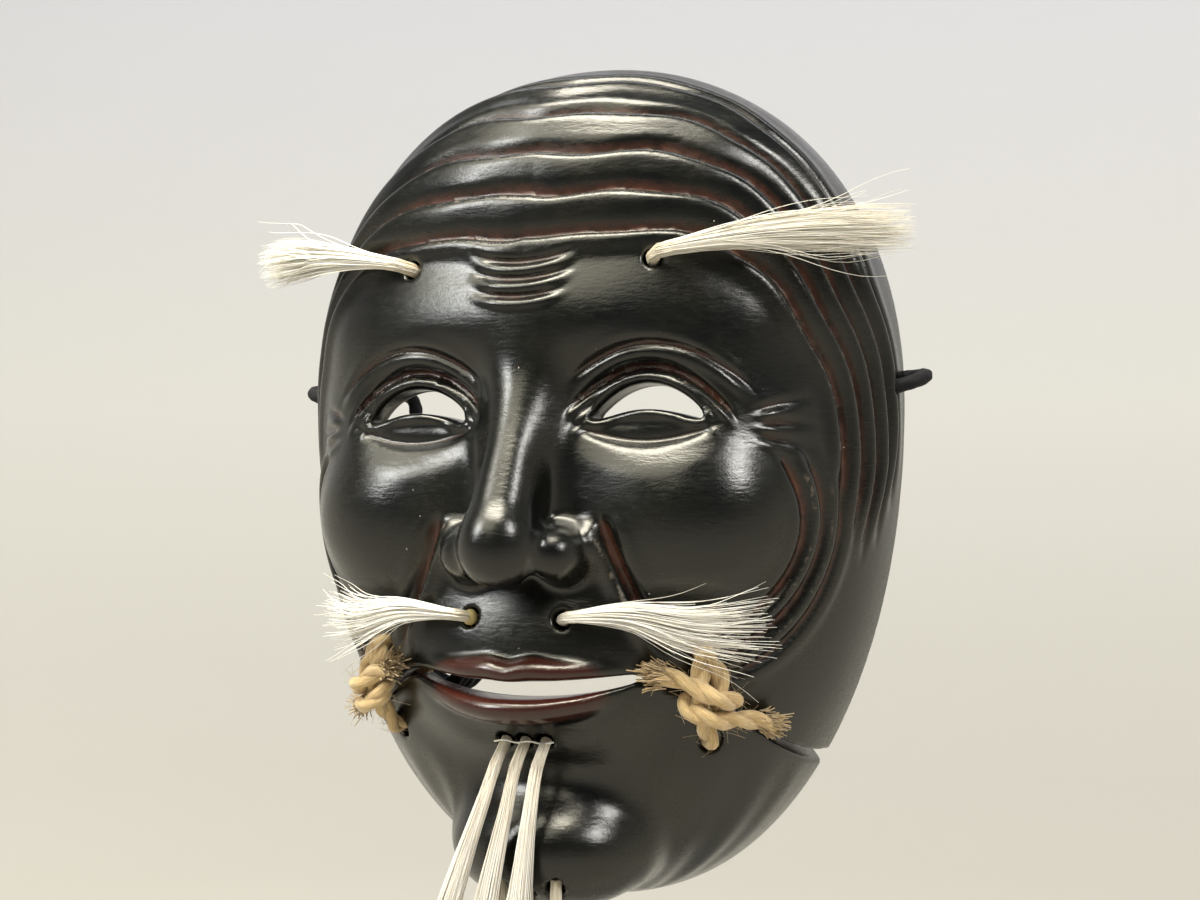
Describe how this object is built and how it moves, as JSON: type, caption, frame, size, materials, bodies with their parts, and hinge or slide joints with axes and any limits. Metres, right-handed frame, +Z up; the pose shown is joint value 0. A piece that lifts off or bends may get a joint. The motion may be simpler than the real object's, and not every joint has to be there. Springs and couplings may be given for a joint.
{
  "type": "noh mask",
  "caption": "Carved and lacquered wooden face mask of an old man, with a separate jaw hung on cord lashings, hair tufts, a beard and side cords.",
  "frame": {"origin": "centre of the back of the rim, in the rim's plane, level with the middle of the mask's height", "axes": "+Z up the mask, -Y out of the face towards the viewer, +X to the viewer's right"},
  "size_m": [0.1754, 0.0842, 0.3061],
  "materials": {
    "black_lacquer": "carved wood under semi-gloss black lacquer, brushed, worn to a red-brown ground on edges",
    "bristle": "stiff ivory horsehair bristle",
    "moustache_hair": "stiff ivory horsehair",
    "beard_hair": "long straight ivory horsehair",
    "hemp_cord": "two-ply twisted hemp, rough and fibrous",
    "black_braid": "matt braided cord"
  },
  "bodies": {
    "mask": {"mask_shell": "black_lacquer", "brow_tuft_left": "bristle", "brow_tuft_right": "bristle", "moustache_left": "moustache_hair", "moustache_right": "moustache_hair", "jaw_tie_left": "hemp_cord", "jaw_tie_right": "hemp_cord", "side_cord_left": "black_braid", "side_cord_right": "black_braid", "ear_knot_left": "black_braid", "ear_knot_right": "black_braid", "cord_hank_left": "black_braid", "cord_hank_right": "black_braid", "hank_tie_left": "black_braid", "hank_tie_right": "black_braid"},
    "jaw": {"jaw": "black_lacquer"},
    "lip_beard": {"lip_beard_1": "beard_hair", "lip_beard_2": "beard_hair", "lip_beard_3": "beard_hair"},
    "chin_beard": {"chin_beard_1": "beard_hair", "chin_beard_2": "beard_hair", "chin_beard_3": "beard_hair"}
  },
  "joints": [
    {"name": "jaw_open", "type": "hinge", "parent": "mask", "child": "jaw", "pos_m": [0, -0.0384, -0.06], "axis": [1, 0, 0], "range_deg": [-1, 4]},
    {"name": "lip_beard_swing", "type": "hinge", "parent": "jaw", "child": "lip_beard", "pos_m": [0, -0.0558, -0.062], "axis": [-1, 0, 0], "range_deg": [0, 40]},
    {"name": "chin_beard_swing", "type": "hinge", "parent": "jaw", "child": "chin_beard", "pos_m": [0, -0.053, -0.0965], "axis": [-1, 0, 0], "range_deg": [-18, 1]}
  ]
}
